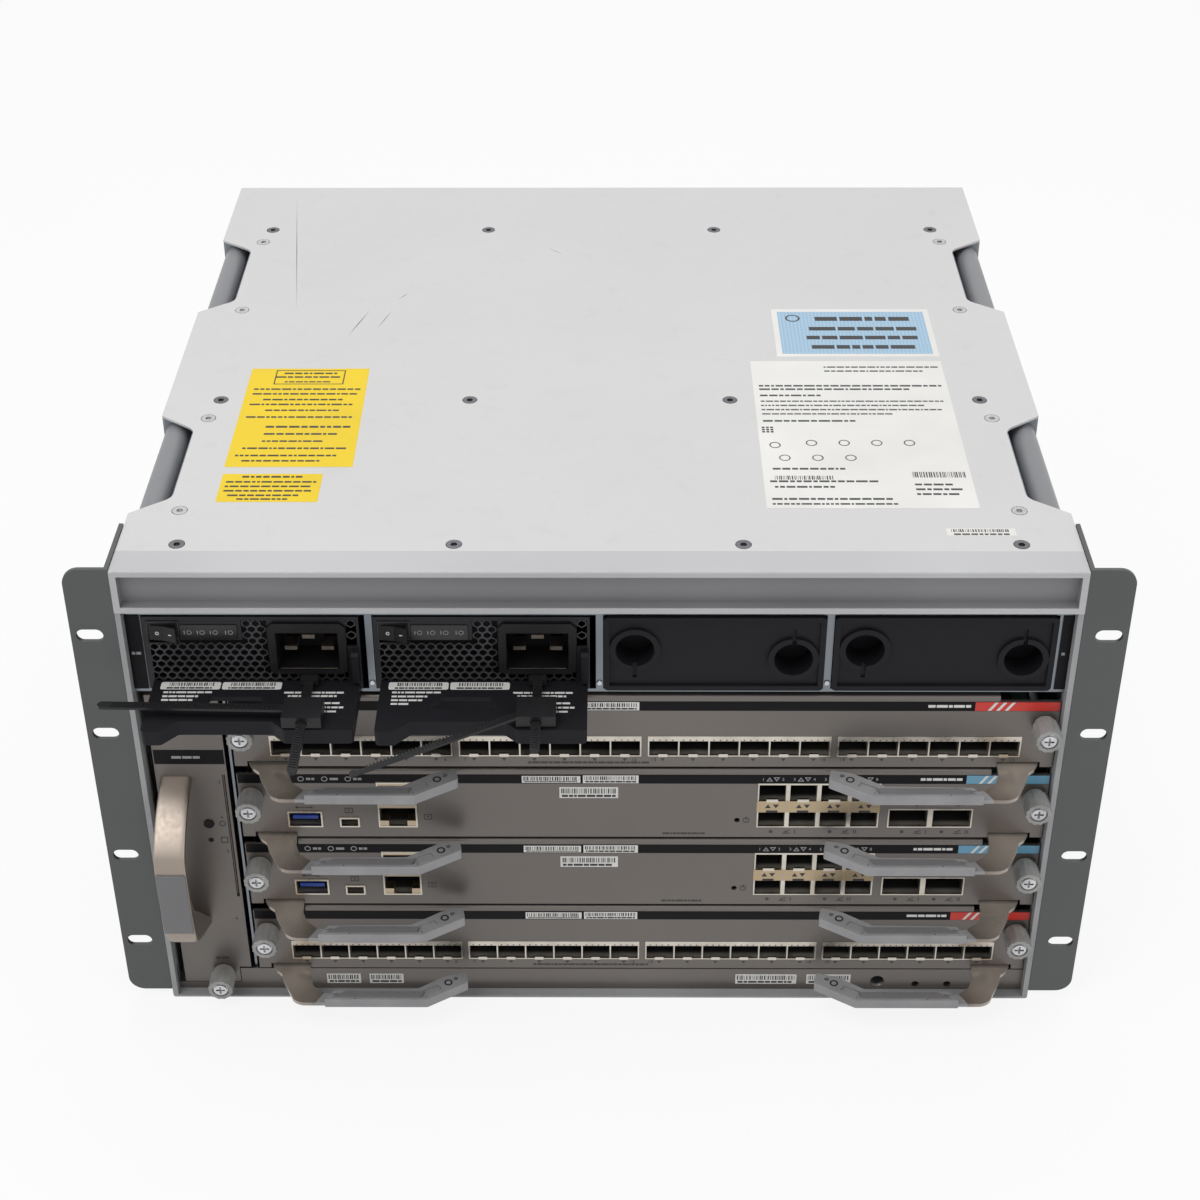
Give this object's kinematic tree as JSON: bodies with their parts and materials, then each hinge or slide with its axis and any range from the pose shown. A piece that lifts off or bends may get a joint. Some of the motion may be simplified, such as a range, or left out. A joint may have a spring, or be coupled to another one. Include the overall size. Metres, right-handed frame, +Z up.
{
  "type": "modular chassis switch",
  "caption": "Rack-mount network switch chassis with plug-in modules, ejector levers, a fan tray, power supplies, blank covers and carry handles.",
  "frame": {"origin": "centre of the underside of the folded chassis shell", "axes": "+X to the right seen from the front, +Y to the rear, +Z up"},
  "size_m": [0.4826, 0.4843, 0.2667],
  "materials": {
    "chassis_paint": "fine texture powder coat",
    "ear_steel": "dull passivated",
    "grey_paint": "satin",
    "zinc_steel": "zinc plated",
    "circuit_board": "solder mask",
    "dark_screw": "black oxide",
    "faceplate_paint": "satin powder coat",
    "grip_plastic": "moulded",
    "knob_metal": "satin",
    "handle_nickel": "satin nickel",
    "fan_plastic": "moulded",
    "supply_steel": "satin black",
    "black_plastic": "moulded",
    "charcoal_plastic": "moulded",
    "nylon": "moulded nylon",
    "port_tin": "tin plated",
    "label_paper": "printed label",
    "print_ink": "screen print"
  },
  "bodies": {
    "chassis": {"chassis_shell": "chassis_paint", "top_cover": "chassis_paint", "front_bezel": "chassis_paint", "rear_panel": "chassis_paint", "rack_ear_left": "ear_steel", "rack_ear_right": "ear_steel", "carry_bars": "grey_paint", "handle_pans": "zinc_steel", "power_bays": "zinc_steel", "fan_partition": "zinc_steel", "right_guides": "zinc_steel", "backplane": "circuit_board", "cover_screws": "dark_screw", "handle_screws": "zinc_steel"},
    "module_1": {"slot_1_faceplate": "faceplate_paint", "slot_1_board": "circuit_board"},
    "lever_1_left": {"slot_1_lever_left": "grip_plastic"},
    "thumbscrew_1_left": {"slot_1_thumbscrew_left": "knob_metal"},
    "lever_1_right": {"slot_1_lever_right": "grip_plastic"},
    "thumbscrew_1_right": {"slot_1_thumbscrew_right": "knob_metal"},
    "module_2": {"slot_2_faceplate": "faceplate_paint", "slot_2_board": "circuit_board"},
    "lever_2_left": {"slot_2_lever_left": "grip_plastic"},
    "thumbscrew_2_left": {"slot_2_thumbscrew_left": "knob_metal"},
    "lever_2_right": {"slot_2_lever_right": "grip_plastic"},
    "thumbscrew_2_right": {"slot_2_thumbscrew_right": "knob_metal"},
    "module_3": {"slot_3_faceplate": "faceplate_paint", "slot_3_board": "circuit_board"},
    "lever_3_left": {"slot_3_lever_left": "grip_plastic"},
    "thumbscrew_3_left": {"slot_3_thumbscrew_left": "knob_metal"},
    "lever_3_right": {"slot_3_lever_right": "grip_plastic"},
    "thumbscrew_3_right": {"slot_3_thumbscrew_right": "knob_metal"},
    "module_4": {"slot_4_faceplate": "faceplate_paint", "slot_4_board": "circuit_board"},
    "lever_4_left": {"slot_4_lever_left": "grip_plastic"},
    "thumbscrew_4_left": {"slot_4_thumbscrew_left": "knob_metal"},
    "lever_4_right": {"slot_4_lever_right": "grip_plastic"},
    "thumbscrew_4_right": {"slot_4_thumbscrew_right": "knob_metal"},
    "fan_tray": {"fan_tray": "faceplate_paint", "fan_tray_handle": "handle_nickel"},
    "fan_thumbscrew": {"fan_tray_thumbscrew": "knob_metal"},
    "fan_1": {"fan_rotor_1": "fan_plastic"},
    "fan_2": {"fan_rotor_2": "fan_plastic"},
    "fan_3": {"fan_rotor_3": "fan_plastic"},
    "supply_1": {"supply_1_case": "supply_steel", "supply_1_inlet": "black_plastic", "supply_1_handle": "charcoal_plastic", "supply_1_retainer_rail": "nylon"},
    "rocker_1": {"supply_1_rocker": "black_plastic"},
    "latch_1": {"supply_1_latch": "charcoal_plastic"},
    "clamp_1": {"supply_1_retainer_clamp": "nylon"},
    "supply_2": {"supply_2_case": "supply_steel", "supply_2_inlet": "black_plastic", "supply_2_handle": "charcoal_plastic", "supply_2_retainer_rail": "nylon"},
    "rocker_2": {"supply_2_rocker": "black_plastic"},
    "latch_2": {"supply_2_latch": "charcoal_plastic"},
    "clamp_2": {"supply_2_retainer_clamp": "nylon"},
    "blank_3": {"blank_cover_3": "charcoal_plastic"},
    "blank_4": {"blank_cover_4": "charcoal_plastic"}
  },
  "joints": [
    {"name": "module_1_slide", "type": "slide", "parent": "chassis", "child": "module_1", "axis": [0, -1, 0], "range_m": [0, 0.3]},
    {"name": "lever_1_left_hinge", "type": "hinge", "parent": "module_1", "child": "lever_1_left", "pos_m": [-0.1565, -0.1974, 0.15035], "axis": [0, 0, -1], "range_deg": [0, 40]},
    {"name": "thumbscrew_1_left_turn", "type": "hinge", "parent": "module_1", "child": "thumbscrew_1_left", "pos_m": [-0.16805, -0.207, 0.17555], "axis": [0, 1, 0], "continuous": true},
    {"name": "lever_1_right_hinge", "type": "hinge", "parent": "module_1", "child": "lever_1_right", "pos_m": [0.1985, -0.1974, 0.15035], "axis": [0, 0, 1], "range_deg": [0, 40]},
    {"name": "thumbscrew_1_right_turn", "type": "hinge", "parent": "module_1", "child": "thumbscrew_1_right", "pos_m": [0.21005, -0.207, 0.17555], "axis": [0, 1, 0], "continuous": true},
    {"name": "module_2_slide", "type": "slide", "parent": "chassis", "child": "module_2", "axis": [0, -1, 0], "range_m": [0, 0.3]},
    {"name": "lever_2_left_hinge", "type": "hinge", "parent": "module_2", "child": "lever_2_left", "pos_m": [-0.1565, -0.1974, 0.1059], "axis": [0, 0, -1], "range_deg": [0, 40]},
    {"name": "thumbscrew_2_left_turn", "type": "hinge", "parent": "module_2", "child": "thumbscrew_2_left", "pos_m": [-0.16805, -0.207, 0.1311], "axis": [0, 1, 0], "continuous": true},
    {"name": "lever_2_right_hinge", "type": "hinge", "parent": "module_2", "child": "lever_2_right", "pos_m": [0.1985, -0.1974, 0.1059], "axis": [0, 0, 1], "range_deg": [0, 40]},
    {"name": "thumbscrew_2_right_turn", "type": "hinge", "parent": "module_2", "child": "thumbscrew_2_right", "pos_m": [0.21005, -0.207, 0.1311], "axis": [0, 1, 0], "continuous": true},
    {"name": "module_3_slide", "type": "slide", "parent": "chassis", "child": "module_3", "axis": [0, -1, 0], "range_m": [0, 0.3]},
    {"name": "lever_3_left_hinge", "type": "hinge", "parent": "module_3", "child": "lever_3_left", "pos_m": [-0.1565, -0.1974, 0.06145], "axis": [0, 0, -1], "range_deg": [0, 40]},
    {"name": "thumbscrew_3_left_turn", "type": "hinge", "parent": "module_3", "child": "thumbscrew_3_left", "pos_m": [-0.16805, -0.207, 0.08665], "axis": [0, 1, 0], "continuous": true},
    {"name": "lever_3_right_hinge", "type": "hinge", "parent": "module_3", "child": "lever_3_right", "pos_m": [0.1985, -0.1974, 0.06145], "axis": [0, 0, 1], "range_deg": [0, 40]},
    {"name": "thumbscrew_3_right_turn", "type": "hinge", "parent": "module_3", "child": "thumbscrew_3_right", "pos_m": [0.21005, -0.207, 0.08665], "axis": [0, 1, 0], "continuous": true},
    {"name": "module_4_slide", "type": "slide", "parent": "chassis", "child": "module_4", "axis": [0, -1, 0], "range_m": [0, 0.3]},
    {"name": "lever_4_left_hinge", "type": "hinge", "parent": "module_4", "child": "lever_4_left", "pos_m": [-0.1565, -0.1974, 0.017], "axis": [0, 0, -1], "range_deg": [0, 40]},
    {"name": "thumbscrew_4_left_turn", "type": "hinge", "parent": "module_4", "child": "thumbscrew_4_left", "pos_m": [-0.16805, -0.207, 0.0422], "axis": [0, 1, 0], "continuous": true},
    {"name": "lever_4_right_hinge", "type": "hinge", "parent": "module_4", "child": "lever_4_right", "pos_m": [0.1985, -0.1974, 0.017], "axis": [0, 0, 1], "range_deg": [0, 40]},
    {"name": "thumbscrew_4_right_turn", "type": "hinge", "parent": "module_4", "child": "thumbscrew_4_right", "pos_m": [0.21005, -0.207, 0.0422], "axis": [0, 1, 0], "continuous": true},
    {"name": "fan_tray_slide", "type": "slide", "parent": "chassis", "child": "fan_tray", "axis": [0, -1, 0], "range_m": [0, 0.38]},
    {"name": "fan_thumbscrew_turn", "type": "hinge", "parent": "fan_tray", "child": "fan_thumbscrew", "pos_m": [-0.193, -0.207, 0.0132], "axis": [0, 1, 0], "continuous": true},
    {"name": "fan_1_spin", "type": "hinge", "parent": "fan_tray", "child": "fan_1", "pos_m": [-0.2075, -0.129, 0.10405], "axis": [1, 0, 0], "continuous": true},
    {"name": "fan_2_spin", "type": "hinge", "parent": "fan_tray", "child": "fan_2", "pos_m": [-0.2075, -0.008, 0.10405], "axis": [1, 0, 0], "continuous": true},
    {"name": "fan_3_spin", "type": "hinge", "parent": "fan_tray", "child": "fan_3", "pos_m": [-0.2075, 0.113, 0.10405], "axis": [1, 0, 0], "continuous": true},
    {"name": "supply_1_slide", "type": "slide", "parent": "chassis", "child": "supply_1", "axis": [0, -1, 0], "range_m": [0, 0.3]},
    {"name": "rocker_1_tilt", "type": "hinge", "parent": "supply_1", "child": "rocker_1", "pos_m": [-0.1998, -0.1985, 0.2288], "axis": [0, 0, 1], "range_deg": [0, 12]},
    {"name": "latch_1_press", "type": "slide", "parent": "supply_1", "child": "latch_1", "axis": [-1, 0, 0], "range_m": [0, 0.0018], "stiffness_N_per_m": 300, "springref_m": -0.001},
    {"name": "clamp_1_slide", "type": "slide", "parent": "supply_1", "child": "clamp_1", "axis": [0, -1, 0], "range_m": [-0.008, 0.03]},
    {"name": "supply_2_slide", "type": "slide", "parent": "chassis", "child": "supply_2", "axis": [0, -1, 0], "range_m": [0, 0.3]},
    {"name": "rocker_2_tilt", "type": "hinge", "parent": "supply_2", "child": "rocker_2", "pos_m": [-0.0939, -0.1985, 0.2288], "axis": [0, 0, 1], "range_deg": [0, 12]},
    {"name": "latch_2_press", "type": "slide", "parent": "supply_2", "child": "latch_2", "axis": [-1, 0, 0], "range_m": [0, 0.0018], "stiffness_N_per_m": 300, "springref_m": -0.001},
    {"name": "clamp_2_slide", "type": "slide", "parent": "supply_2", "child": "clamp_2", "axis": [0, -1, 0], "range_m": [-0.008, 0.018]},
    {"name": "blank_3_pull", "type": "slide", "parent": "chassis", "child": "blank_3", "axis": [0, -1, 0], "range_m": [0, 0.06]},
    {"name": "blank_4_pull", "type": "slide", "parent": "chassis", "child": "blank_4", "axis": [0, -1, 0], "range_m": [0, 0.06]}
  ]
}
